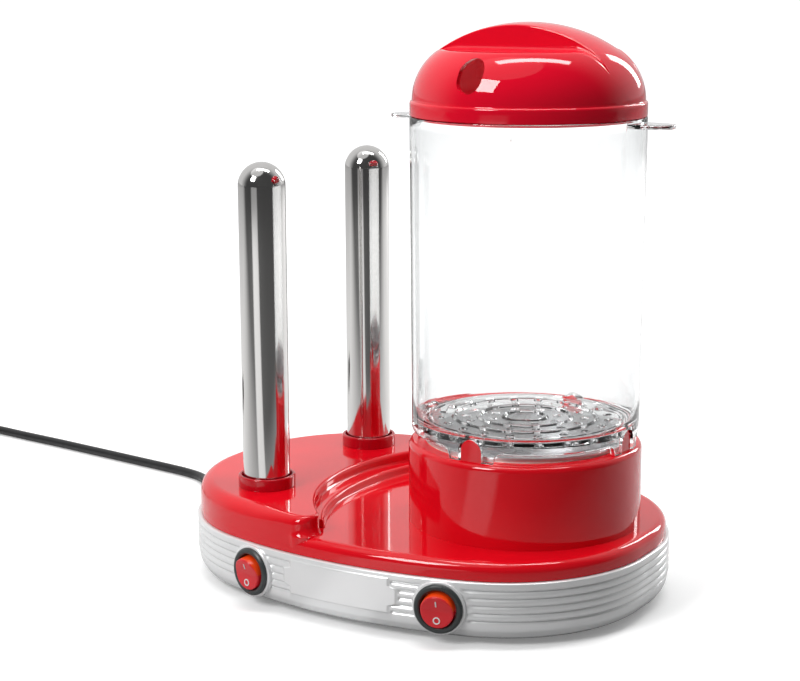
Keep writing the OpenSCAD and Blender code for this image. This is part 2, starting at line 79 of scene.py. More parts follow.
# the camera's axes and place, fitted to the photo's perspective
fwd = Vector((-0.51466, 0.83358, -0.20064))
right = Vector((0.85089, 0.52534, 0))
up = Vector((-0.1054, 0.17072, 0.97966))
roll = rad(0.2066)
r2 = right * math.cos(roll) - up * math.sin(roll)
u2 = right * math.sin(roll) + up * math.cos(roll)
m = Matrix((r2, u2, -fwd)).transposed().to_4x4()
m.translation = Vector((0.4504, -0.7610, 0.3010))
cam.matrix_world = m
cam.data.lens = 83.33
cam.data.sensor_width = 36
cam.data.clip_start = 0.02
cam.data.clip_end = 200


# ---------------------------------------------------------------- materials
PAINTED_EDGE_BLEND, COAT_ROUGH, SSS_DEPTH = 0.235, 0.04, 0.004


def material(name, col, rough=0.2, metal=0.0, var=0.05, rvar=0.04, scale=60, bump=0.02, fine=900,
             stretch=(1, 1, 1), coat=0.0, trans=0.0, ior=1.5, spec=0.5, lamps=0.0, glow=0.0, sss=0.0,
             edge=None):
    """Principled surface with noise in its colour, roughness and bump (bump is its depth in mm).

    edge is a tint of painted shade that the colour turns to at grazing angles, lamps is how much lamp light
    passes straight through, fine is the scale of the bump's noise, and glow is a painted glow in the surface's
    own colour.
    """
    mt = bpy.data.materials.new(name)
    mt.use_nodes = True
    nt = mt.node_tree
    p = nt.nodes["Principled BSDF"]
    out = nt.nodes["Material Output"]
    N, L = nt.nodes.new, nt.links.new
    tc = N("ShaderNodeTexCoord")
    mp = N("ShaderNodeMapping")
    mp.inputs["Scale"].default_value = stretch
    L(tc.outputs["Object"], mp.inputs["Vector"])
    n1 = N("ShaderNodeTexNoise")
    n1.inputs["Scale"].default_value = scale
    n1.inputs["Detail"].default_value = 3
    L(mp.outputs["Vector"], n1.inputs["Vector"])
    ramp = N("ShaderNodeValToRGB")
    ramp.color_ramp.elements[0].position = 0.3
    ramp.color_ramp.elements[1].position = 0.7
    ramp.color_ramp.elements[0].color = [max(0, c * (1 - var)) for c in col] + [1]
    ramp.color_ramp.elements[1].color = [min(1, c * (1 + var)) for c in col] + [1]
    L(n1.outputs["Fac"], ramp.inputs["Fac"])
    # Painted shade: at grazing angles the base colour turns to the edge tint, which darkens the rims.
    if edge:
        lw = N("ShaderNodeLayerWeight")
        lw.inputs["Blend"].default_value = PAINTED_EDGE_BLEND
        mx = N("ShaderNodeMix")
        mx.data_type = "RGBA"
        mx.inputs["B"].default_value = list(edge) + [1]
        L(lw.outputs["Facing"], mx.inputs["Factor"])
        L(ramp.outputs["Color"], mx.inputs["A"])
        L(mx.outputs["Result"], p.inputs["Base Color"])
    else:
        L(ramp.outputs["Color"], p.inputs["Base Color"])
    n2 = N("ShaderNodeTexNoise")
    n2.inputs["Scale"].default_value = scale * 2.3
    n2.inputs["Detail"].default_value = 4
    L(mp.outputs["Vector"], n2.inputs["Vector"])
    mr = N("ShaderNodeMapRange")
    mr.inputs["From Min"].default_value = 0.3
    mr.inputs["From Max"].default_value = 0.7
    mr.inputs["To Min"].default_value = max(0.0, rough - rvar)
    mr.inputs["To Max"].default_value = rough + rvar
    L(n2.outputs["Fac"], mr.inputs["Value"])
    L(mr.outputs["Result"], p.inputs["Roughness"])
    if bump:
        n3 = N("ShaderNodeTexNoise")
        n3.inputs["Scale"].default_value = fine
        n3.inputs["Detail"].default_value = 2
        L(mp.outputs["Vector"], n3.inputs["Vector"])
        b = N("ShaderNodeBump")
        b.inputs["Strength"].default_value = 0.5
        b.inputs["Distance"].default_value = bump * MM
        L(n3.outputs["Fac"], b.inputs["Height"])
        L(b.outputs["Normal"], p.inputs["Normal"])
    p.inputs["Metallic"].default_value = metal
    p.inputs["Coat Weight"].default_value = coat
    p.inputs["Coat Roughness"].default_value = COAT_ROUGH
    p.inputs["IOR"].default_value = ior
    p.inputs["Specular IOR Level"].default_value = spec
    p.inputs["Transmission Weight"].default_value = trans
    if sss:
        p.inputs["Subsurface Weight"].default_value = sss
        p.inputs["Subsurface Scale"].default_value = SSS_DEPTH
    # Painted glow: emission in the surface's own colour, though the part holds no lamp.
    if glow:
        p.inputs["Emission Color"].default_value = list(col) + [1]
        p.inputs["Emission Strength"].default_value = glow
    if lamps:
        tr = N("ShaderNodeBsdfTransparent")
        lp = N("ShaderNodeLightPath")
        mix = N("ShaderNodeMixShader")
        part = N("ShaderNodeMath")
        part.operation = "MULTIPLY"
        part.inputs[1].default_value = lamps
        L(lp.outputs["Is Shadow Ray"], part.inputs[0])
        L(part.outputs["Value"], mix.inputs["Fac"])
        L(p.outputs["BSDF"], mix.inputs[1])
        L(tr.outputs["BSDF"], mix.inputs[2])
        L(mix.outputs["Shader"], out.inputs["Surface"])
    return mt


RED = material("red_gloss", (0.72, 0.003, 0.011), 0.07, var=0.04, rvar=0.02, scale=25, bump=0.003, fine=300,
               ior=1.52)
LIDRED = material("lid_gloss", (0.80, 0.002, 0.022), 0.05, var=0.03, rvar=0.02, scale=25, bump=0.002,
                  fine=300, ior=1.52)
LIDIN = material("lid_inside", (0.70, 0.002, 0.014), 0.3, var=0.04, rvar=0.05, scale=30, bump=0.002,
                 fine=300, spec=0.16)
COLLAR = material("collar_gloss", (0.50, 0.002, 0.012), 0.14, var=0.05, rvar=0.04, scale=40, bump=0.004,
                  fine=400)
SILVER = material("silver_paint", (0.83, 0.835, 0.84), 0.24, metal=0.28, var=0.02, rvar=0.03, scale=30,
                  bump=0.0002, fine=350, coat=0.25)
STEEL = material("polished_steel", (0.66, 0.65, 0.64), 0.09, metal=1.0, var=0.05, rvar=0.03, scale=50,
                 bump=0.003, fine=500, stretch=(3, 3, 0.15))
ZINC = material("zinc_plate", (0.60, 0.60, 0.58), 0.32, metal=1.0, var=0.10, rvar=0.08, scale=120, bump=0.02,
                fine=1500)
ALU = material("drawn_aluminium", (0.72, 0.72, 0.73), 0.3, metal=1.0, var=0.04, rvar=0.05, scale=60,
               bump=0.002, fine=500, stretch=(1, 1, 0.3))
SHEATH = material("heater_sheath", (0.20, 0.19, 0.18), 0.42, metal=0.9, var=0.2, rvar=0.1, scale=80,
                  bump=0.02, fine=1600)
BRASS = material("brass_tab", (0.75, 0.55, 0.22), 0.28, metal=1.0, var=0.08, rvar=0.08, scale=150, bump=0.01,
                 fine=1500)
NICKEL = material("nickel_pin", (0.70, 0.68, 0.63), 0.2, metal=1.0, var=0.06, rvar=0.06, scale=120,
                  bump=0.004, fine=1500)
CERAMIC = material("ceramic", (0.80, 0.77, 0.70), 0.6, var=0.08, rvar=0.1, scale=150, bump=0.05, fine=2500)
SILICONE = material("silicone_seal", (0.72, 0.70, 0.66), 0.55, var=0.05, rvar=0.08, scale=120, bump=0.03,
                    fine=1800, sss=0.1)
BLACKP = material("black_moulding", (0.022, 0.022, 0.024), 0.45, var=0.15, rvar=0.08, scale=80, bump=0.05,
                  fine=1500)
RUBBER = material("foot_rubber", (0.018, 0.018, 0.018), 0.75, var=0.2, rvar=0.1, scale=120, bump=0.08,
                  fine=1800)
CORD = material("cord_pvc", (0.012, 0.012, 0.013), 0.38, var=0.2, rvar=0.08, scale=90, bump=0.03, fine=1500)
BEZEL = material("bezel_plastic", (0.035, 0.042, 0.042), 0.33, var=0.1, rvar=0.06, scale=100, bump=0.02,
                 fine=2000)
# glow paints a glow on the rocker's lens and its amber wall, which hold no lamp.
ROCKER = material("rocker_lens", (0.60, 0.012, 0.02), 0.14, var=0.06, rvar=0.03, scale=120, bump=0.004,
                  fine=900, sss=0.15, glow=0.12)
AMBER = material("rocker_wall", (0.74, 0.05, 0.005), 0.2, var=0.15, rvar=0.05, scale=200, bump=0.01,
                 fine=900, glow=0.14)
MARK = material("mark_white", (0.85, 0.85, 0.85), 0.4, var=0.03, rvar=0.05, scale=300, bump=0.01, fine=2500)
LAMP = material("lamp_glass", (0.95, 0.55, 0.30), 0.08, var=0.1, rvar=0.03, scale=300, bump=0.0, trans=0.8)
WIRE = material("wire_sleeve", (0.06, 0.10, 0.42), 0.4, var=0.12, rvar=0.08, scale=150, bump=0.02, fine=1800)
WHITEP = material("white_block", (0.80, 0.79, 0.75), 0.45, var=0.05, rvar=0.08, scale=120, bump=0.03,
                  fine=1800)
# edge paints shade on the clear walls at grazing angles, which darkens their rims.
CLEAR = material("clear_plastic", (0.985, 0.99, 0.99), 0.015, var=0.006, rvar=0.012, scale=30, bump=0.0,
                 trans=1.0, ior=1.46, lamps=0.9, edge=(0.45, 0.47, 0.48))
TIE = material("tie_nylon", (0.03, 0.03, 0.032), 0.42, var=0.15, rvar=0.08, scale=200, bump=0.03, fine=2500)


# ---------------------------------------------------------------- mesh helpers
def body_of(node):
    return NODES[node]["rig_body"]


def finish_piece(o, mats, nodes=(), body=None, angle=38):
    """Gives a mesh its materials, shading and body, and hides the CAD nodes it stands for."""
    for mat in (mats if isinstance(mats, (list, tuple)) else [mats]):
        o.data.materials.append(mat)
    o.data.shade_smooth()
    o.data.set_sharp_from_angle(angle=rad(angle))
    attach(o, body or body_of(nodes[0]))
    if nodes:
        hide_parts(*nodes)


def shells(name, parts, merge=0.002, tiny=None):
    """One object from shells [(verts in mm, faces), ...]; points within merge mm become one."""
    verts, faces = [], []
    for v, f in parts:
        first = len(verts)
        verts += [(a[0] * MM, a[1] * MM, a[2] * MM) for a in v]
        faces += [tuple(i + first for i in q) for q in f]
    me = bpy.data.meshes.new(name)
    me.from_pydata(verts, [], faces)
    bm = bmesh.new()
    bm.from_mesh(me)
    bmesh.ops.remove_doubles(bm, verts=bm.verts, dist=merge * MM)
    if tiny:
        bmesh.ops.dissolve_degenerate(bm, edges=bm.edges, dist=tiny * MM)
    bmesh.ops.recalc_face_normals(bm, faces=bm.faces)
    bm.to_mesh(me)
    bm.free()
    o = bpy.data.objects.new(name, me)
    sc.collection.objects.link(o)
    return o


def piece(name, parts, mats, nodes=(), body=None, angle=38, face_mat=None):
    """A finished piece from shells; face_mat picks each face's material from its centre in mm."""
    o = shells(name, parts, merge=0.004, tiny=0.002)
    if face_mat:
        for p in o.data.polygons:
            p.material_index = face_mat(p.center / MM)
    finish_piece(o, mats, nodes, body, angle)


def bake(o):
    """Applies an object's modifiers."""
    dg = bpy.context.evaluated_depsgraph_get()
    me = bpy.data.meshes.new_from_object(o.evaluated_get(dg))
    o.modifiers.clear()
    o.data = me


def boolean(o, steps):
    """Applies [(operation, parts), ...] to o with the exact solver."""
    for op, parts in steps:
        c = shells("cutter", parts)
        md = o.modifiers.new("b", "BOOLEAN")
        md.operation = op
        md.solver = "EXACT"
        md.use_self = True
        md.object = c
        bpy.context.view_layer.update()
        bake(o)
        bpy.data.objects.remove(c)


def grid(rows, wrap_u=False, wrap_v=False, caps=()):
    """Shell over rows of points; caps closes the first (0) or last (1) row."""
    nu, nv = len(rows), len(rows[0])
    v = [p for r in rows for p in r]
    f = []
    for i in range(nu if wrap_u else nu - 1):
        for j in range(nv if wrap_v else nv - 1):
            a, b = i * nv + j, i * nv + (j + 1) % nv
            c, d = ((i + 1) % nu) * nv + (j + 1) % nv, ((i + 1) % nu) * nv + j
            f.append((a, b, c, d))
    if 0 in caps:
        f.append(tuple(range(nv))[::-1])
    if 1 in caps:
        f.append(tuple((nu - 1) * nv + j for j in range(nv)))
    return v, f


STRAIGHT = 89.5   # half angle above which a corner counts as straight
REACH = 0.49      # most of a side that one corner's rounding may use


def fillet(pts, n=5, closed=False):
    """Rounds a polyline of (x, y) or (x, y, radius), with n steps to a corner."""
    out = []
    k = len(pts)
    for i, p in enumerate(pts):
        r = p[2] if len(p) > 2 else 0
        if r <= 0 or (not closed and i in (0, k - 1)):
            out.append((p[0], p[1]))
            continue
        a, b, c = Vector(p[:2]), Vector(pts[i - 1][:2]), Vector(pts[(i + 1) % k][:2])
        u, w = b - a, c - a
        lu, lw = u.length, w.length
        u.normalize()
        w.normalize()
        half = math.acos(max(-1, min(1, u.dot(w)))) / 2
        if half > rad(STRAIGHT):
            out.append((p[0], p[1]))
            continue
        d = min(r / math.tan(half), lu * REACH, lw * REACH)
        r = d * math.tan(half)
        cen = a + (u + w).normalized() * (r / math.sin(half))
        s, t = a + u * d - cen, a + w * d - cen
        a0 = math.atan2(s.y, s.x)
        da = (math.atan2(t.y, t.x) - a0 + math.pi) % (2 * math.pi) - math.pi
        for q in range(n + 1):
            g = a0 + da * q / n
            out.append((cen.x + r * math.cos(g), cen.y + r * math.sin(g)))
    return out


def lathe(prof, n=96, at=(0, 0), loop=False, mat=None):
    """A profile of (radius, z) turned about Z at a place; loop closes the profile, mat moves it."""
    rows = []
    for i in range(n):
        a = 2 * math.pi * i / n
        row = [(at[0] + r * math.cos(a), at[1] + r * math.sin(a), z) for r, z in prof]
        if mat is not None:
            row = [tuple(mat @ Vector(p)) for p in row]
        rows.append(row)
    return grid(rows, wrap_u=True, wrap_v=loop)


RIM = 0.3         # flat margin inside a slab's rounding


def slab(pts, z0, z1, bev, n=3, frame_m=None):
    """Extruded outline (convex or gently concave, anticlockwise) with rounded rims.

    frame_m, a matrix or a function of a point, puts it in its place.
    """
    k = len(pts)
    nrm = []
    for i in range(k):
        e = Vector(pts[(i + 1) % k]) - Vector(pts[i - 1])
        nrm.append(Vector((e.y, -e.x)).normalized())
    lay = []
    for q in range(n + 1):
        a = math.pi / 2 * q / n
        lay.append((-bev * (1 - math.sin(a)), z0 + bev * (1 - math.cos(a))))
    for q in range(n + 1):
        a = math.pi / 2 * (1 - q / n)
        lay.append((-bev * (1 - math.sin(a)), z1 - bev * (1 - math.cos(a))))
    lay = [(-bev - RIM, z0)] + lay + [(-bev - RIM, z1)]
    rows = []
    for o, z in lay:
        row = [Vector((p[0] + nn.x * o, p[1] + nn.y * o, z)) for p, nn in zip(pts, nrm)]
        if frame_m is not None:
            row = [frame_m(v) if callable(frame_m) else frame_m @ v for v in row]
        rows.append([tuple(v) for v in row])
    return grid(rows, wrap_v=True, caps=(0, 1))


def smooth(x):
    """Eases from 0 to 1."""
    x = max(0.0, min(1.0, x))
    return x * x * (3 - 2 * x)


# ---------------------------------------------------------------- plan of the base
BX = -3.0                            # middle of the base
HALF_D = 86                          # half its depth
CX, CY, CR = 44.5, 6.0, 74.0         # centre and radius of the corner arcs
SC = (CX * CX + CY * CY - (HALF_D - CR) ** 2) / (2 * (HALF_D - CR - CY))   # centre of the long arcs
SR = HALF_D + SC                     # radius of the long arcs
SA = math.degrees(math.atan2(CX, CY + SC))
BAND = 1.5                           # the band stands this far outside the cover
AX = mid("boiler_pan").x             # axis of the drum
SAME = 0.05                          # outline points nearer than this are one


def outline(ds=1.6, front=None):
    """[(x, y, nx, ny)] anticlockwise, ds apart, and front apart on the long front arc."""
    out = []

    def arc(x, y, r, a0, a1, step):
        n = max(2, int(math.ceil(r * rad(a1 - a0) / step)))
        for i in range(n + 1):
            a = rad(a0 + (a1 - a0) * i / n)
            out.append((BX + x + r * math.cos(a), y + r * math.sin(a), math.cos(a), math.sin(a)))
    arc(CX, CY, CR, 0, 90 - SA, ds)
    arc(0, -SC, SR, 90 - SA, 90 + SA, ds)
    arc(-CX, CY, CR, 90 + SA, 180, ds)
    arc(-CX, -CY, CR, 180, 270 - SA, ds)
    arc(0, SC, SR, 270 - SA, 270 + SA, front or ds)
    arc(CX, -CY, CR, 270 + SA, 360, ds)
    res = []
    for p in out:
        if not res or math.hypot(p[0] - res[-1][0], p[1] - res[-1][1]) > SAME:
            res.append(p)
    if math.hypot(res[0][0] - res[-1][0], res[0][1] - res[-1][1]) < SAME:
        res.pop()
    return res


def ring(path, o, z):
    """The outline moved outwards by o, at height z."""
    return [(x + nx * o, y + ny * o, z) for x, y, nx, ny in path]


def around(path, prof, cap=False):
    """A profile of (outward offset, z) swept round the outline."""
    return grid([ring(path, o, z) for o, z in prof], wrap_v=True, caps=(1,) if cap else ())


# ---------------------------------------------------------------- switch and cord frames
SWITCH_TURN, EXIT_TURN = 13, 15.4   # how far the band turns away at a switch and at the cord's exit
FRONT = -87.5                       # foremost y of the band


def turned(deg, axis):
    return Matrix.Rotation(rad(deg), 4, axis)


def switch_m(s):
    """Frame of the left (-1) or right (1) switch, Z outwards."""
    place = Matrix.Translation((s * 51.2, FRONT + (4.9 if s > 0 else 3.6), 17.4))
    return place @ turned(SWITCH_TURN * s, "Z") @ turned(90, "X")


EXIT = Vector((BX - CX - (CR + BAND) * math.cos(rad(EXIT_TURN)),
               CY + (CR + BAND) * math.sin(rad(EXIT_TURN)), 16.0))
cord_m = Matrix.Translation(EXIT) @ turned(-EXIT_TURN, "Z") @ turned(-90, "Y")

# ---------------------------------------------------------------- cord
CORD_R = 2.6
TZ = 2.7        # height of the cord's middle where it lies on the table
inside = [tuple(cord_m @ Vector((0, 0, z))) for z in (-28, -14, 0, 9)]
run = [(-136, 30.3, 15.9), (-144, 32.7, 15.5), (-157, 38.5, 13.2), (-170, 47, 9.4), (-182, 57.5, 5.8),
       (-194, 68, 3.4), (-206, 76.4, TZ), (-219, 80, TZ), (-236, 82.4, TZ), (-256, 84.7, TZ), (-280, 87.4, TZ),
       (-306, 90.2, TZ), (-332, 93, TZ), (-360, 95.5, TZ), (-386, 97.8, TZ + 0.2), (-408, 98.95, 3.2),
       (-424, 99.3, 3.5)]
coil_c = mid("cord_coil")


COIL_R, COIL_STEP = 31.3, 5.2    # outer turn's radius, and how much smaller the inner turn is


def coil_at(t):
    """Place on the coil after t degrees of its 3.25 turns: inwards below, then outwards above."""
    r = COIL_R - COIL_STEP * smooth((t - 240) / 95)
    r = r + COIL_STEP * smooth((t - 870) / 95)
    z = 3.5 + 5.35 * smooth((t - 535) / 70)
    a = rad(90 + t)
    return (coil_c.x + r * math.cos(a), coil_c.y + r * math.sin(a), z)


coil = [coil_at(t) for t in range(0, 1171, 15)]
tail = [(-469.3, 60, 8.7), (-469.3, 52, 8.0), (-469.3, 44, 7.2), (-469.3, 36, 6.9), (-469.3, 31, 6.9)]
path = inside + run + coil + tail
cu = bpy.data.curves.new("mains_cord", "CURVE")
cu.dimensions = "3D"
sp = cu.splines.new("BEZIER")
sp.bezier_points.add(len(path) - 1)
for bp, p in zip(sp.bezier_points, path):
    bp.co = Vector(p) * MM
    bp.handle_left_type = bp.handle_right_type = "AUTO"
cu.bevel_depth = CORD_R * MM
cu.bevel_resolution = 5
cu.resolution_u = 5
cu.use_fill_caps = True
cord = bpy.data.objects.new("mains_cord", cu)
sc.collection.objects.link(cord)
cu.materials.append(CORD)
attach(cord, "base")
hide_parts("power_cord", "cord_coil", "cord_tail")

# strain relief: flange, neck and a ribbed taper
pr = [(2.62, -9.3), (4.7, -9.3), (4.9, -9.0), (4.9, -5.4), (4.15, -5.3), (4.15, 0.2), (5.3, 0.3), (5.6, 0.7),
      (5.6, 2.0), (5.2, 2.5), (4.6, 2.6)]
for i in range(7):   # ribs
    z = 4.0 + i * 2.7
    r = 4.55 - 1.05 * (z / 22)
    pr += [(r, z - 0.9), (r, z + 0.55), (r - 0.55, z + 0.8), (r - 0.55, z + 1.5)]
pr += [(3.35, 23.2), (3.1, 23.9), (2.62, 24.0)]
piece("strain_relief_taper", [lathe(pr, 48, loop=True, mat=cord_m)], CORD, ["strain_relief"],
      angle=50)

# plug: flat two-pin body with a waist, grip ribs, cuffs and a tapered neck
px, pz = mid("plug_pins").x, 6.9   # middle of the plug
PIN_X = 9.3                        # each pin is this far from it
half = [(17.5, -4), (17.5, 2), (15.5, 8), (13.2, 13), (12.2, 17), (11.2, 22), (9.6, 29)]
plan = fillet([(p[0], p[1], 2.5) for p in half] + [(-p[0], p[1], 2.5) for p in half[::-1]], 4, True)
Mp = Matrix.Translation((px, 0, 0))
plug = [slab(plan, 0.15, 13.75, 3.0, 6, Mp)]
for k in range(4):   # grip ribs below and above
    for zz in (0.5, 13.4):
        w, y0, y1 = 6.5 - 0.6 * k, 9 + 3.4 * k, 10.6 + 3.4 * k
        rib = fillet([(-w, y0, 0.7), (w, y0, 0.7), (w, y1, 0.7), (-w, y1, 0.7)], 3, True)
        plug.append(slab(rib, zz - 0.35, zz + 0.35, 0.3, 2, Mp))
neck = [(0, -1), (5.4, -1), (5.1, 0.5)]
for i in range(5):
    z, r = 2.0 + i * 2.9, 5.0 - 0.3 * i
    neck += [(r, z - 1.0), (r, z + 0.6), (r - 0.5, z + 0.9), (r - 0.5, z + 1.6)]
neck += [(3.2, 15.6), (2.7, 16.2), (2.61, 16.4), (2.61, 3), (0, 3)]
Mn = Matrix.Translation((px, 28.6, pz)) @ turned(-90, "X")
plug.append(lathe(neck, 40, mat=Mn))
for s in (-1, 1):
    Mc = Matrix.Translation((px + s * PIN_X, -3.6, pz)) @ turned(90, "X")
    cuff = fillet([(0, 0), (2.3, 0, 0), (2.3, 0.8, 0.4), (1.85, 1.0, 0.1), (1.85, 10.4, 0.3), (0, 10.4)], 3)
    plug.append(lathe(cuff, 32, mat=Mc))
piece("mains_plug", plug, CORD, ["plug_body"])
pins = []
for s in (-1, 1):
    Mc = Matrix.Translation((px + s * PIN_X, -13.9, pz)) @ turned(90, "X")
    pins.append(lathe(fillet([(0, 0), (2, 0, 0.1), (2, 7.6, 0.8), (1.5, 8.7, 0.5), (0, 9.0)], 4), 32, mat=Mc))
piece("mains_pins", pins, NICKEL, ["plug_pins"])

# tie: a flat strap round the turns, with thin edges
tb = mid("cord_tie")
loop = fillet([(-5.9, -5.9, 2.6), (5.9, -5.9, 2.6), (5.9, 5.9, 2.6), (-5.9, 5.9, 2.6)], 6, True)
rows = []
for x, w in ((-1.9, 0.0), (-1.6, 0.28), (1.6, 0.28), (1.9, 0.0)):
    rows.append([(tb.x + x, tb.y + p[0] * (1 + w / 6.2), tb.z + p[1] * (1 + w / 6.6)) for p in loop])
for x in (1.6, -1.6):
    rows.append([(tb.x + x, tb.y + p[0] * 0.955, tb.z + p[1] * 0.955) for p in loop])
piece("coil_tie", [grid(rows, wrap_u=True, wrap_v=True)], TIE, ["cord_tie"])

# ---------------------------------------------------------------- silver band
bosses = [switch_m(-1).translation, switch_m(1).translation]
FACE_Y = -60                          # the band's front face lies before this y
BOSS_R = 12.65                        # rings round the switches
PLAQUE_Z, PLAQUE_HALF_H = 19.9, 8.3   # middle and half the height of the plaque
RIB_TOP, RIB_PITCH = 30.5 - 4.1, 3.55
GROOVE, GROOVE_HALF_W = 1.05, 1.55    # depth and half the width of a groove
PLAQUE_RISE = 0.5
FACE_IN = 0.12                        # the visible face lies this far inside the CAD's


def flat_zone(x, y, z):
    """0 where the ribs are gone: round the switches and the plaque; 1 elsewhere."""
    if y > FACE_Y:
        return 1.0
    g = 1.0
    for b in bosses:
        d = math.hypot((x - b.x) / math.cos(rad(SWITCH_TURN)), z - b.z)
        g = min(g, smooth((d - 12.9) / 0.9))
    return min(g, smooth((plaque_d(x, z) - 0.7) / 0.8))


def plaque_d(x, z):
    """Distance outside the plaque's bracket-ended outline, negative inside."""
    dz = abs(z - PLAQUE_Z)
    end = 26.5 + 3.9 * smooth((4.9 - dz) / 1.6)
    dx, dy = abs(x) - end, dz - PLAQUE_HALF_H
    return max(dx, dy) if max(dx, dy) < 0 else math.hypot(max(dx, 0), max(dy, 0))


def rib_depth(z):
    """Five sharp grooves with rounded ribs between them."""
    k = (RIB_TOP - z) / RIB_PITCH
    d = abs(k - max(0, min(4, round(k)))) * RIB_PITCH
    return -GROOVE * (1 - min(1.0, d / GROOVE_HALF_W)) ** 2


base_prof = fillet([(-9.0, 3.0), (-5.6, 3.0, 1.2), (-3.3, 4.4, 3.5), (-1.3, 7.6, 6), (0.0, 12.2, 8),
                    (0.0, 29.9, 0.0)], 5)
Z_RIBS, Z_STEP = 11.0, 0.2   # the ribbed part starts here, with rows this far apart
lower = [p for p in base_prof if p[1] < Z_RIBS]
zs = [Z_RIBS + i * Z_STEP for i in range(1, int((29.7 - Z_RIBS) / Z_STEP))]


def base_o(z):
    """Outward offset of the plain band at height z."""
    for (o0, z0), (o1, z1) in zip(base_prof, base_prof[1:]):
        if z0 <= z <= z1 and z1 > z0:
            return o0 + (o1 - o0) * (z - z0) / (z1 - z0)
    return 0.0


band_path = outline(1.5, 0.45)
rows = [ring(band_path, BAND + o, z) for o, z in lower]
for z in zs:
    row = []
    for x, y, nx, ny in band_path:
        g = flat_zone(x, y, z)
        o = BAND + base_o(z) + rib_depth(z) * g - FACE_IN
        if y < FACE_Y:
            o += PLAQUE_RISE * (1 - smooth((plaque_d(x, z) + 0.5) / 0.9))
        row.append((x + nx * o, y + ny * o, z))
    rows.append(row)
over = [(-FACE_IN, 29.75), (-0.3, 30.1), (-0.75, 30.38), (-1.5, 30.45), (-3.9, 30.45),
        (-3.9, 12.0), (-9.9, 5.4), (-10.5, 5.2), (-10.5, 3.2)]   # rounded top, then down the inside
rows += [ring(band_path, BAND + o, z) for o, z in over]


def in_hole(v):
    """Inside a switch or cord hole, whose edge the ring round it covers."""
    p = Vector(v)
    for frame_m, r in ((switch_m(-1), 11.2), (switch_m(1), 11.2), (cord_m, 5.4)):
        q = frame_m.inverted() @ p
        if -14 < q.z < 4 and math.hypot(q.x, q.y) < r:
            return True
    return False


bv, bf = grid(rows, wrap_u=True, wrap_v=True)
holed = [(v[1] < FACE_Y and abs(abs(v[0]) - 51) < 14 or v[0] < -100) and in_hole(v) for v in bv]
bf = [f for f in bf if not all(holed[i] for i in f)]
band = [(bv, bf)]
for s in (-1, 1):
    boss = fillet([(10.0, -3.9), (12.6, -3.9, 0), (BOSS_R, 0.0, 0.9), (10.0, -0.02, 0.3)], 6, True)
    band.append(lathe(boss, 96, loop=True, mat=switch_m(s)))
boss = fillet([(4.35, -3.6), (6.6, -3.6, 0), (6.6, 0.12, 0.5), (4.35, 0.12, 0.1)], 4, True)
band.append(lathe(boss, 48, loop=True, mat=cord_m))
piece("ribbed_band", band, SILVER, ["base_band"], angle=60)

# ---------------------------------------------------------------- red cover
DL, LZ, DH = 39.0, 43.2, 48.5   # heights of the low deck, the ledge and the upper deck
RHO = 8.0                       # radius of the upper deck's nose
STEP_R = 100.5                  # radius of the step, about the drum's axis
INSET = 0.3                     # the cover's wall lies this far inside the outline
low = outline(1.5)
edge_round = [(-INSET - 4.4 * (1 - math.cos(a)), 34.6 + 4.4 * math.sin(a))
              for a in [rad(9 * i) for i in range(11)]]
cover = [around(low, [(-3.2, 30.55), (-0.7, 30.55), (-0.36, 30.75), (-INSET, 31.2), (-INSET, 33.8)] +
                edge_round + [(-5.6, DL), (-7.0, DL)], cap=True),
         around(low, [(-5.2, 30.5), (-5.2, 27.5), (-2.9, 27.5), (-2.9, 30.6)])]


def front_meeting(c0, r0, c1, r1):
    """Where two circles meet, on the side of low y."""
    d = c1 - c0
    L = d.length
    a = (r0 * r0 - r1 * r1 + L * L) / (2 * L)
    h = math.sqrt(max(0, r0 * r0 - a * a))
    e = d / L
    q = c0 + e * a
    across = Vector((-e.y, e.x)) * h
    return min((q + across, q - across), key=lambda v: v.y)


A0 = Vector((AX, 0))
CF = Vector((BX, SC))
nose = front_meeting(CF, SR - INSET - RHO, A0, STEP_R + RHO)
t1 = math.atan2(nose.y - CF.y, nose.x - CF.x)
t2 = math.atan2(A0.y - nose.y, A0.x - nose.x)
up_path = []   # x, y, nx, ny, kind: from 0 on the outline to 1 on the step
tip_x = nose.x + RHO * math.cos(t1)
left_part = sorted((p for p in low if p[0] < tip_x),
                   key=lambda p: math.atan2(p[1], p[0] + 10) % (2 * math.pi))
for x, y, nx, ny in left_part:
    up_path.append((x - INSET * nx, y - INSET * ny, nx, ny, smooth((x - (tip_x - 34)) / 34) * 0.5))
for i in range(25):
    a = t1 + (t2 - t1) * i / 24
    up_path.append((nose.x + RHO * math.cos(a), nose.y + RHO * math.sin(a), math.cos(a), math.sin(a),
                    0.5 + 0.5 * smooth(i / 16)))
b1 = math.atan2(nose.y, nose.x - AX) % (2 * math.pi)
b0 = 2 * math.pi - b1
N_STEP = 110
for i in range(1, N_STEP):
    a = b1 + (b0 - b1) * i / N_STEP
    up_path.append((AX + STEP_R * math.cos(a), STEP_R * math.sin(a), -math.cos(a), -math.sin(a), 1.0))
for i in range(24, -1, -1):
    a = -(t1 + (t2 - t1) * i / 24)
    up_path.append((nose.x + RHO * math.cos(a), -nose.y + RHO * math.sin(a), math.cos(a), math.sin(a),
                    0.5 + 0.5 * smooth(i / 16)))


def shoulder(k):
    """Inward and downward reach of the upper edge: wide at the outside, small on the step."""
    if k <= 0.5:
        return 6.5 - 2.0 * (k / 0.5), 7.2 - 2.4 * (k / 0.5)
    return 4.5 - 2.7 * ((k - 0.5) / 0.5), 4.8 - 2.9 * ((k - 0.5) / 0.5)


def flare(k):
    """Spread of the wall's foot, widest where the step turns round its end."""
    if k < 0.5:
        return 0.0
    if k < 1.0:
        return 3.2 * smooth((k - 0.5) / 0.25)
    return 0.7


foot_k = []   # flare evened out along the path
n_up = len(up_path)
for i in range(n_up):
    w = [flare(up_path[(i + d) % n_up][4]) for d in range(-6, 7)]
    foot_k.append(sum(w) / len(w))
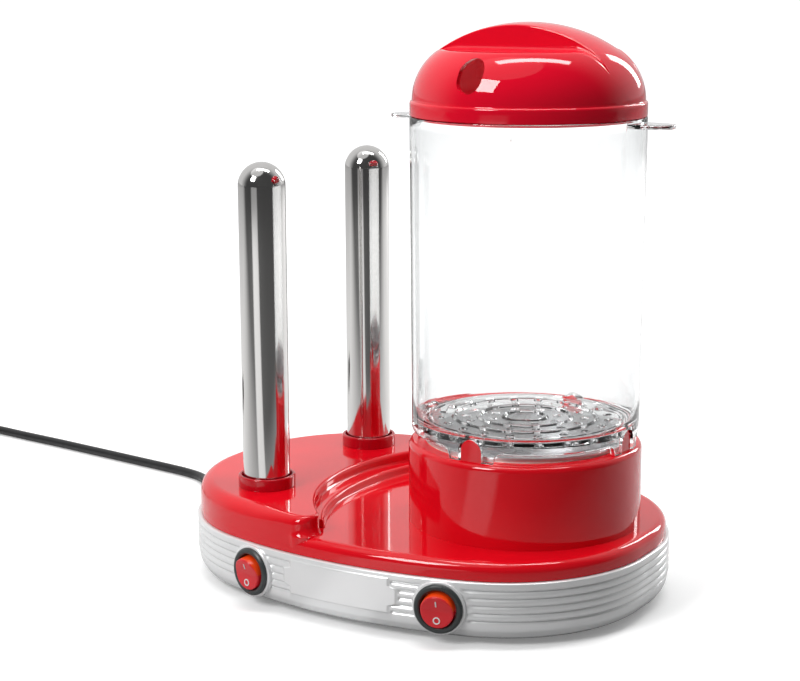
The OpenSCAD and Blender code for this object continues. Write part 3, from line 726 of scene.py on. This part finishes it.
# the wall's foot as (share of the flare, z)
FOOT = ((0, 33.0), (1.0, 38.6), (0.98, 39.1), (0.45, 39.6), (0.12, 40.6), (0.0, 41.2))
rows = []
for q in range(-len(FOOT), 13):   # the foot's rows, ten steps of rounding, then two flat ones
    row = []
    for (x, y, nx, ny, k), fl in zip(up_path, foot_k):
        reach, drop = shoulder(k)
        if q < 0:
            o, z = FOOT[q]
            o = o * fl - (0.05 if k < 0.5 and z < 36 else 0)
            z = z if z < 39.5 else DL + (z - DL) * (1 + 0.35 * fl)
            z = min(z, DH - drop - 0.1)
        elif q <= 10:
            g = rad(9 * q)
            o, z = -reach * (1 - math.cos(g)), DH - drop + drop * math.sin(g)
        else:
            o, z = -reach - 0.5 * (q - 10), DH
        row.append((x + nx * o, y + ny * o, z))
    rows.append(row)
cover.append(grid(rows, wrap_v=True, caps=(1,)))


def ledge_r(a):
    """Radius of the middle ledge, which tapers out towards both ends."""
    d = abs(math.degrees(a) - 180) / 49
    return 91.6 + 7.8 * d ** 1.7


span = [b1 - rad(2.5) + (b0 - b1 + rad(5)) * i / 120 for i in range(121)]
rows = []
for a in span:
    r = ledge_r(a)
    row = [(r - 1.0, DL - 0.5), (r - 0.9, DL + 0.05), (r - 0.35, DL + 0.35), (r, DL + 1.1), (r + 0.1, LZ - 1.5),
           (r + 0.28, LZ - 0.8), (r + 0.75, LZ - 0.25), (r + 1.5, LZ - 0.02), (r + 2.2, LZ)]
    row += [(r + 2.2 + (STEP_R - r - 2.2) * t, LZ + 0.1 * t) for t in (0.5, 0.9)]
    row += [(100.1, LZ + 0.3), (100.55, LZ + 1.0), (104.5, LZ + 1.0), (104.5, DL - 0.5)]
    rows.append([(AX + q[0] * math.cos(a), q[0] * math.sin(a), q[1]) for q in row])
cover.append(grid(rows, wrap_v=True, caps=(0, 1)))

# drum with its rounded top, seat and foot fillet
drum = fillet([(55.5, 38.6), (55.5, 78.0, 3.0), (44.4, 78.0, 0.6), (44.4, 60.0)], 8)
cover.append(lathe(drum, 200, (AX, 0)))
# arched tabs standing on the seat
TAB_HALF_W, ARCH_Z = 5.3, 83.0


def bow(r, z, start, stop, step):
    """Points of an arch's round top."""
    return [(r * math.cos(rad(a)), z + r * math.sin(rad(a))) for a in range(start, stop, step)]


arch = [(-TAB_HALF_W, 77.4), (TAB_HALF_W, 77.4)] + bow(TAB_HALF_W, ARCH_Z, 0, 181, 12)


def wrap_on(radius, turn):
    """Bends an upright plate round the drum's axis."""
    def f(v):
        a = turn + v.x / radius
        r = radius + v.z
        return Vector((AX + r * math.cos(a), r * math.sin(a), v.y))
    return f


for k in range(4):
    cover.append(slab(arch, -1.2, 1.2, 0.45, 4, wrap_on(51.6, rad(90 * k))))
# bosses inside for the case screws
for x, y in ((-92, -44), (-92, 44), (64, -60), (64, 60)):
    top = 46 if x < 0 else 36.5
    cover.append(lathe(fillet([(1.6, top), (1.6, 14.0), (4.2, 14.0, 0.4), (4.2, top)], 3), 32, (x, y)))
piece("red_cover", cover, RED, ["top_cover"], angle=42)

# ---------------------------------------------------------------- spikes
SPIKE_R, BORE_R = 11.5, 10.7
for side in ("front", "rear"):
    c = mid("spike_tube_" + side)
    z1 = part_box("spike_tube_" + side)[1].z / MM - SPIKE_R
    prof = [(BORE_R, 36.05), (SPIKE_R, 36.05), (SPIKE_R, 60), (SPIKE_R, 120), (SPIKE_R, 160)]
    prof += bow(SPIKE_R, z1, 0, 91, 6) + bow(BORE_R, z1, 90, -1, -6) + [(BORE_R, 120)]
    piece("bun_spike_" + side, [lathe(prof, 112, (c.x, c.y), loop=True)], STEEL, ["spike_tube_" + side])
    prof = fillet([(11.9, 48.4), (13.9, 48.4, 0), (14.0, 48.9, 0.4), (14.0, 54.4, 0.9), (12.45, 54.5, 0.45),
                   (12.4, 52.0, 0.2), (11.85, 52.0, 0.0)], 5, True)
    piece("red_collar_" + side, [lathe(prof, 96, (c.x, c.y), loop=True)], COLLAR, ["spike_collar_" + side],
          angle=50)

# ---------------------------------------------------------------- switches
ROCK = 9              # the rocker leans this many degrees at rest
FACE_R = 7.8          # radius of the rocker's face
FACE_RISE = 1.30      # how far the face rises from its middle to its rim
face_radii = [0.0, 1.5, 3.0, 4.5, 5.8, 6.8, 7.25, 7.5, 7.68, FACE_R]
face_drop = [0, 0, 0, 0, 0, 0, 0.02, 0.1, 0.28, 0.6]
rocker_wall = ((7.85, 2.2), (7.85, -2.8), (7.5, -3.4), (0, -3.5))


def rocker_face(c, Ri):
    """1 on the amber wall that shows above the ring, 0 elsewhere; Ri takes it to the rocker's frame."""
    q = Ri @ c
    return 1 if q.y > 1.0 and q.z < 4.35 and math.hypot(q.x, q.y) > 7.6 else 0


for s, nm in ((-1, "left"), (1, "right")):
    M = switch_m(s)
    prof = fillet([(8.6, -10.0), (8.6, 1.2, 0.5), (9.3, 1.75, 0.4), (10.6, 1.8, 0.7), (11.5, 0.9, 0.6),
                   (11.5, 0.03, 0.15), (9.9, 0.0, 0.1), (9.9, -17.0, 0.4), (0.01, -17.0, 0), (0.01, -10.0, 0)],
                  5, True)
    clips = []
    for a in (0, 180):
        clip = fillet([(9.6, -2.6, 0.4), (10.6, -2.6, 0.6), (10.6, 2.6, 0.6), (9.6, 2.6, 0.4)], 3, True)
        clips.append(slab(clip, -11.0, -6.6, 0.4, 3, M @ turned(a, "Z")))
    piece("switch_body_" + nm, [lathe(prof, 96, loop=True, mat=M)] + clips, BEZEL, ["switch_housing_" + nm],
          angle=50)
    R = M @ Matrix.Translation((0, 0, -1)) @ turned(ROCK, "X")
    rows = []
    for i in range(72):
        a = 2 * math.pi * i / 72
        row = []
        for r, d in zip(face_radii, face_drop):
            y = r * math.sin(a)
            z = 3.95 + FACE_RISE * (math.sqrt((y / FACE_R) ** 2 + 0.012) - 0.11) - d
            row.append((r * math.cos(a), y, z))
        row += [(r * math.cos(a), r * math.sin(a), z) for r, z in rocker_wall]
        rows.append([tuple(R @ Vector(p)) for p in row])
    body = [grid(rows, wrap_u=True)]
    Mx = R @ Matrix.Translation((-9.1, 0, 0)) @ turned(90, "Y")
    body.append(lathe(fillet([(0, 0), (1.18, 0, 0.2), (1.18, 18.2, 0.2), (0, 18.2)], 3), 24, mat=Mx))
    piece("rocker_button_" + nm, body, [ROCKER, AMBER], ["rocker_" + nm], angle=50,
          face_mat=lambda c, Ri=R.inverted(): rocker_face(c, Ri))
    tilt = math.atan2(FACE_RISE / FACE_R, 1)
    bar = fillet([(-0.3, -1.45, 0.25), (0.3, -1.45, 0.25), (0.3, 1.45, 0.25), (-0.3, 1.45, 0.25)], 3, True)
    circle = fillet([(1.15, -0.1), (1.7, -0.1), (1.7, 0.09, 0.05), (1.15, 0.09, 0.05)], 2, True)
    Mt = R @ Matrix.Translation((0, 4.1, 4.68)) @ Matrix.Rotation(tilt, 4, "X")
    Mb = R @ Matrix.Translation((0, -4.1, 4.68)) @ Matrix.Rotation(-tilt, 4, "X")
    marks = [slab(bar, -0.1, 0.09, 0.06, 2, Mt), lathe(circle, 48, loop=True, mat=Mb)]
    piece("rocker_marks_" + nm, marks, MARK, [], body="rocker_" + nm, angle=50)

# ---------------------------------------------------------------- clear container
cr0, cr1, cz0, cz1 = 54.0, 54.9, 85.0, 231.3   # outer radius at the foot and at the rim, and their heights
FLOOR_Z = 88.2                                 # top of the perforated floor
RINGS = (46.0, 34.0, 22.0, 10.0)               # ridges round the floor


def wall_r(z):
    return cr0 + (cr1 - cr0) * (z - cz0) / (cz1 - cz0)


heights = (100, 120, 140, 160, 180, 200, 215, 226)
prof = [(51.0, 86.0), (51.0, 82.5), (51.35, 82.0)]
prof += [(51.2 + 2.8 * math.sin(rad(a)), 85.0 - 3.0 * math.cos(rad(a))) for a in range(12, 91, 13)]
prof += [(wall_r(z), z) for z in heights]
prof += [(54.87, 230.6), (54.7, 231.1), (54.3, 231.3), (53.3, 231.3), (52.95, 231.05), (52.88, 230.4)]
prof += [(wall_r(z) - 2.0, z) for z in heights[::-1]]
prof += [(52.1, 92.5), (51.6, 90.3), (50.6, 88.9), (49.2, 88.25)]
for rc in RINGS:
    h = 1.3 if rc < 40 else 0.7
    ridge = ((1.3, 0), (0.75, 0.55 * h), (0.3, h), (-0.3, h), (-0.75, 0.55 * h), (-1.3, 0))
    prof += [(rc + w, FLOOR_Z + up_by) for w, up_by in ridge]
prof += [(4.0, FLOOR_Z), (0.0, FLOOR_Z), (0.0, 86.0), (10, 86), (30, 86), (45, 86)]
shell = shells("steam_container", [lathe(prof, 180, (AX, 0), loop=True)])
adds = []
for s in (0, 180):
    ear = fillet([(53.2, -9.3, 0.2), (55.5, -8.9, 1.2), (57.5, -8, 3)], 3)
    ear += [(65 + 8 * math.cos(rad(a)), 8 * math.sin(rad(a))) for a in range(-90, 91, 10)]
    ear += fillet([(57.5, 8, 3), (55.5, 8.9, 1.2), (53.2, 9.3, 0.2)], 3)
    Me = Matrix.Translation((AX, 0, 0)) @ turned(s, "Z")
    adds.append(slab(ear, 227.8, 229.8, 0.7, 4, Me))
Mt = Matrix.Translation((AX, 0, 0)) @ turned(-70, "Z")
mark = fillet([(53.6, -0.55, 0.2), (55.35, -0.45, 0.3), (55.35, 0.45, 0.3), (53.6, 0.55, 0.2)], 3, True)
adds.append(slab(mark, 224.4, 231.0, 0.3, 3, Mt))   # small upright rib under the rim
foot_half = ((5.3, 78.15), (11.0, 78.15), (11.3, 79.5), (11.7, 81.0), (12.5, 82.2), (14.0, 83.2),
             (16.0, 84.0), (16.0, 85.4), (5.3, 85.4))
for k in range(4):   # a foot on each side of each tab
    for s in (-1, 1):
        foot = [(s * u, z) for u, z in foot_half]
        if s < 0:
            foot = foot[::-1]
        adds.append(slab(foot, -1.45, 1.45, 0.4, 3, wrap_on(52.45, rad(90 * k))))
GATE_HALF_W = 5.75   # slots for the tabs
gate = [(-GATE_HALF_W, 76.0), (GATE_HALF_W, 76.0), (GATE_HALF_W, ARCH_Z)]
gate += bow(GATE_HALF_W, ARCH_Z, 15, 166, 15) + [(-GATE_HALF_W, ARCH_Z)]
cuts = [slab(gate, -3.6, 3.6, 0.05, 1, wrap_on(52.2, rad(90 * k))) for k in range(4)]
for r, n in ((16, 8), (28, 14), (40, 20)):   # circles of holes in the floor
    for k in range(n):
        a = 2 * math.pi * k / n
        cuts.append(lathe([(0, 84), (2.2, 84), (2.2, 91), (0, 91)], 20,
                          (AX + r * math.cos(a), r * math.sin(a))))
boolean(shell, [("UNION", adds), ("DIFFERENCE", cuts)])
finish_piece(shell, CLEAR, ["container"], angle=34)

# ---------------------------------------------------------------- lid
LID = 231.4                        # underside of the lid's lip
SKIRT_Z = LID - 1.7
WALL = 2.2
DZ, DA = LID + 6.9, 53.8           # height and radius of the dome's foot
RCROWN, DHT = 75.0, 35.5           # radius of the crown and height of the dome
RR = (RCROWN ** 2 - DA ** 2 - (RCROWN - DHT) ** 2) / (2 * (RCROWN - DA))   # radius of the dome's side
ZC = DZ + DHT - RCROWN             # height of the crown's centre
TH = math.atan2(RCROWN - DHT, DA - RR)   # angle where the side meets the crown
FIN = 12.5                         # half the fin's thickness


def bisect(lo, hi, too_low):
    """Narrows down where too_low stops holding between lo and hi."""
    for _ in range(50):
        half_way = (lo + hi) / 2
        if too_low(half_way):
            lo = half_way
        else:
            hi = half_way
    return hi


def shelf_z(x, off):
    """Finger scoops beside the fin: flat in the middle, falling away at both ends."""
    return 261.2 - off - 0.041 * max(0.0, abs(x) - 33.0) ** 2


def dome_pt(a, off):
    """Radius and height of the dome at angle a, off inside its surface."""
    if a < TH:
        return DA - RR + (RR - off) * math.cos(a), DZ + (RR - off) * math.sin(a)
    return (RCROWN - off) * math.cos(a), ZC + (RCROWN - off) * math.sin(a)


def dome_z(r, off):
    """Height of the dome at radius r."""
    if r <= (RCROWN - off) * math.cos(TH):
        return ZC + math.sqrt((RCROWN - off) ** 2 - r * r)
    return DZ + math.sqrt(max(0.0, (RR - off) ** 2 - (r - DA + RR) ** 2))


def fin_t(x):
    """Half the fin's thickness, which grows towards its ends."""
    return FIN + 2.0 * smooth((abs(x) - 30) / 20)


def edge(ph, off):
    """Profile angle and radius where the scoop's floor leaves the dome, in direction ph."""
    def below(a):
        r, z = dome_pt(a, off)
        return z < shelf_z(r * math.cos(ph), off)
    a = bisect(0.0, math.pi / 2, below)
    return a, dome_pt(a, off)[0]


def lid_grid(off):
    """Rows of the lid's outer skin (off 0) or inner skin, each in a half plane through the axis."""
    if off == 0:
        rim = [(52.2, SKIRT_Z), (52.2, LID), (54.3, LID + 0.02), (54.75, LID + 0.3), (54.8, LID + 1.0),
               (54.8, DZ - 1.2), (54.7, DZ - 0.6), (54.35, DZ - 0.2), (53.95, DZ - 0.02), (53.8, DZ + 0.35)]
    else:
        rim = [(50.2, SKIRT_Z), (50.2, LID + 2.0), (51.6, LID + 3.6), (51.6, DZ)]

    def within_fin(ph):
        r = edge(ph, off)[1]
        return r * math.sin(ph) < fin_t(r * math.cos(ph)) - off
    fin_ph = bisect(0.0, math.pi / 2, within_fin)
    n0, n1 = 12, 150   # rows across the fin's end, and along a scoop
    phis = [fin_ph * i / n0 for i in range(n0)]
    phis += [fin_ph + (math.pi - 2 * fin_ph) * i / n1 for i in range(n1 + 1)]
    phis += [math.pi - fin_ph * (n0 - i) / n0 for i in range(1, n0 + 1)]
    rows = []
    for ph in phis:
        a_b, r_b = edge(ph, off)
        x, ys = r_b * math.cos(ph), r_b * abs(math.sin(ph))
        sh = shelf_z(x, off)
        t = fin_t(x) - off
        tt = min(t, ys)
        w = max(0.0, ys - t)
        h = max(0.0, dome_z(math.hypot(x, tt), off) - sh)
        k = min(1.0, w / 3.0)
        halfp = [(ys, sh), (ys - 0.5 * k, sh + 0.16 * k),
                 (ys - 1.2 * k, sh + 0.22 * k)]   # scoop's lip, then its floor
        for u in (0.35, 0.65):
            halfp.append((ys - 1.2 * k + (tt - ys + 1.2 * k) * u, sh + 0.22 * k))
        c1 = min(3.0, w / 2, h / 1.6)   # hollow corner at the fin's foot
        for i in range(8):
            a = rad(90 * i / 7)
            halfp.append((tt + c1 * (1 - math.sin(a)), sh + 0.22 * k * (1 - i / 7) + c1 * (1 - math.cos(a))))
        c2 = min(0.9, h / 3.5)          # rounding along the fin's top
        zt = dome_z(math.hypot(x, max(0, tt - c2)), off)
        for i in range(7):
            a = rad(15 * i)
            z = zt - c2 * (1 - math.sin(a))
            halfp.append((tt - c2 * (1 - math.cos(a)),
                          max(sh, z) if w > 0 else dome_z(math.hypot(x, tt), off)))
        yy = halfp[-1][0]
        for i in range(1, 11):
            y = yy * (1 - i / 10)
            halfp.append((y, dome_z(math.hypot(x, y), off)))
        full = [(-y, z) for y, z in halfp] + [(y, z) for y, z in halfp[-2::-1]]
        side = rim + [dome_pt(a_b * i / 24, off) for i in range(1, 24)]
        row = [(AX + r_ * math.cos(ph), -r_ * math.sin(ph), z) for r_, z in side]
        row += [(AX + x, y, z) for y, z in full]
        row += [(AX + r_ * math.cos(ph), r_ * math.sin(ph), z) for r_, z in side[::-1]]
        rows.append(row)
    return rows


outer, inner = lid_grid(0.0), lid_grid(WALL)
v1, f1 = grid(outer)
v2, f2 = grid(inner)
nv, nv2, k0 = len(outer[0]), len(inner[0]), len(v1)
v = v1 + v2
f = f1 + [tuple(i + k0 for i in q[::-1]) for q in f2]
# rim that joins the two skins under the lip
for i in range(len(outer) - 1):
    for j, j2 in ((0, 0), (nv - 1, nv2 - 1)):
        f.append((i * nv + j, (i + 1) * nv + j, k0 + (i + 1) * nv2 + j2, k0 + i * nv2 + j2))
lid_o = shells("lid_dome", [(v, f)])
Mv = Matrix.Translation((AX, 0, 0)) @ turned(-3, "Z") @ Matrix.Translation((0, -30, 251.5)) @ turned(90, "X")
vent = [(6.4 * math.cos(rad(a)), 6.4 * math.sin(rad(a)) + (1.3 if a < 180 else -1.3))
        for a in range(5, 365, 10)]
boolean(lid_o, [("DIFFERENCE", [slab(vent, 0, 40, 0.05, 1, Mv)])])
finish_piece(lid_o, [LIDRED, LIDIN], ["lid"], angle=40)
for p in lid_o.data.polygons:
    inward = (p.center / MM - Vector((AX, 0, LID + 3.6))).dot(p.normal) < 0
    p.material_index = 1 if inward else 0


# ---------------------------------------------------------------- carried-over nodes
DRESS = {
    "bottom_plate": BLACKP, "rubber_feet": RUBBER, "case_screws": ZINC, "cord_clamp": BLACKP,
    "spike_heater_front": CERAMIC, "spike_heater_rear": CERAMIC, "spike_plugs": CERAMIC, "spike_nuts": ZINC,
    "boiler_pan": ALU, "pan_seal": SILICONE, "boiler_heater": SHEATH, "heater_strap": ZINC,
    "strap_screw": ZINC, "thermostat": ALU, "thermal_fuse": ZINC, "switch_terminals": BRASS,
    "indicator_lamps": LAMP, "terminal_block": WHITEP, "clamp_screws": ZINC, "lead_wires": WIRE,
}
for name, mat in DRESS.items():
    slots = NODES[name].data.materials
    slots.clear()
    slots.append(mat)

# ---------------------------------------------------------------- floor, world and lights
AWAY = (-0.525, 0.851, 0.0)    # level direction from the camera into the picture
ACROSS = (0.851, 0.525, 0.0)   # level direction to the picture's right
FLOOR_HALF = 40.0


def add(tree, kind, **settings):
    nd = tree.nodes.new(kind)
    for key, value in settings.items():
        setattr(nd, key, value)
    return nd


def maths(tree, op, a, b):
    """A clamped two-input maths node; a and b are numbers or outputs."""
    nd = add(tree, "ShaderNodeMath", operation=op, use_clamp=True)
    for i, x in enumerate((a, b)):
        if isinstance(x, (int, float)):
            nd.inputs[i].default_value = x
        else:
            tree.links.new(x, nd.inputs[i])
    return nd.outputs["Value"]


def eased(tree, value, lo, hi, to_lo=0.0, to_hi=1.0):
    """Takes value from lo..hi to to_lo..to_hi, smoothly."""
    nd = add(tree, "ShaderNodeMapRange", interpolation_type="SMOOTHSTEP")
    for key, x in (("From Min", lo), ("From Max", hi), ("To Min", to_lo), ("To Max", to_hi)):
        nd.inputs[key].default_value = x
    tree.links.new(value, nd.inputs["Value"])
    return nd.outputs["Result"]


def along(tree, v, direction):
    """Dot product of an output with a fixed direction."""
    nd = add(tree, "ShaderNodeVectorMath", operation="DOT_PRODUCT")
    nd.inputs[1].default_value = direction
    tree.links.new(v, nd.inputs[0])
    return nd.outputs["Value"]


fm = bpy.data.meshes.new("floor")
corners = ((-1, -1), (1, -1), (1, 1), (-1, 1))
fm.from_pydata([(x * FLOOR_HALF, y * FLOOR_HALF, 0) for x, y in corners], [], [(0, 1, 2, 3)])
floor = bpy.data.objects.new("floor", fm)
sc.collection.objects.link(floor)
pale = material("pale_floor", (0.86, 0.86, 0.86), 0.7, var=0.004, rvar=0.03, scale=3, bump=0.0)
ft = pale.node_tree
surface = ft.nodes["Principled BSDF"]
spot = add(ft, "ShaderNodeTexCoord").outputs["Object"]
# To the camera and through the clear container the floor glows a little, more so further out.
rays = add(ft, "ShaderNodeLightPath")
seen = maths(ft, "MAXIMUM", rays.outputs["Is Camera Ray"], rays.outputs["Is Transmission Ray"])
far = add(ft, "ShaderNodeVectorMath", operation="LENGTH")
ft.links.new(spot, far.inputs[0])
glow = maths(ft, "MULTIPLY", seen, eased(ft, far.outputs["Value"], 0.12, 1.1, 0.2, 0.62))
ft.links.new(glow, surface.inputs["Emission Strength"])
surface.inputs["Emission Color"].default_value = (1, 1, 1, 1)
# Painted shade and light: in reflections its base colour is painted dark at the front, apart from a painted
# pool of light towards the front left.
back = eased(ft, along(ft, spot, AWAY), -0.48, 0.28)
unit = add(ft, "ShaderNodeVectorMath", operation="NORMALIZE")
ft.links.new(spot, unit.inputs[0])
POOL_TURN = 0.62
pool_dir = (0.525 * math.cos(POOL_TURN) - 0.851 * math.sin(POOL_TURN),
            -0.851 * math.cos(POOL_TURN) - 0.525 * math.sin(POOL_TURN), 0.0)
pool = eased(ft, along(ft, unit.outputs["Vector"], pool_dir), 0.955, 0.985)
lit = maths(ft, "MAXIMUM", back, maths(ft, "MULTIPLY", pool, 0.9))
painted_light = maths(ft, "MAXIMUM", lit, maths(ft, "MAXIMUM", seen, 0.10))
shade = add(ft, "ShaderNodeMix", data_type="RGBA")
shade.inputs["A"].default_value = (0, 0, 0, 1)
ft.links.new(painted_light, shade.inputs["Factor"])
ft.links.new(surface.inputs["Base Color"].links[0].from_socket, shade.inputs["B"])
ft.links.new(shade.outputs["Result"], surface.inputs["Base Color"])
fm.materials.append(pale)

# world: dim behind the camera, bright beyond the object
world = bpy.data.worlds.new("studio")
sc.world = world
world.use_nodes = True
wt = world.node_tree
sky = wt.nodes["Background"]
sky.inputs["Color"].default_value = (1, 1, 1, 1)
look = add(wt, "ShaderNodeTexCoord").outputs["Generated"]
wt.links.new(eased(wt, along(wt, look, AWAY), -0.35, 0.45, 0.07, 0.80), sky.inputs["Strength"])

CEN = Vector((0.02, 0, 0.12))


def area(name, away, side, height, w, h, power):
    """A rectangular light aimed at CEN, placed from there in metres, w by h, with power in watts."""
    light = bpy.data.lights.new(name, "AREA")
    light.shape = "RECTANGLE"
    light.size, light.size_y = w, h
    light.energy = power
    o = bpy.data.objects.new(name, light)
    sc.collection.objects.link(o)
    o.location = CEN + Vector(AWAY) * away + Vector(ACROSS) * side + Vector((0, 0, height))
    o.rotation_euler = (CEN - o.location).to_track_quat("-Z", "Y").to_euler()


area("key_left", -0.9, -1.0, 1.0, 0.5, 0.62, 15)
area("top", 0.0, 0.1, 1.7, 0.24, 1.3, 13)
area("fill_right", 1.3, 1.15, 0.75, 0.3, 1.0, 10)
sun = bpy.data.lights.new("sky", "SUN")
sun.energy = 0.35
sun.angle = rad(50)
so = bpy.data.objects.new("sky", sun)
sc.collection.objects.link(so)
so.rotation_euler = (rad(18), rad(-8), 0)
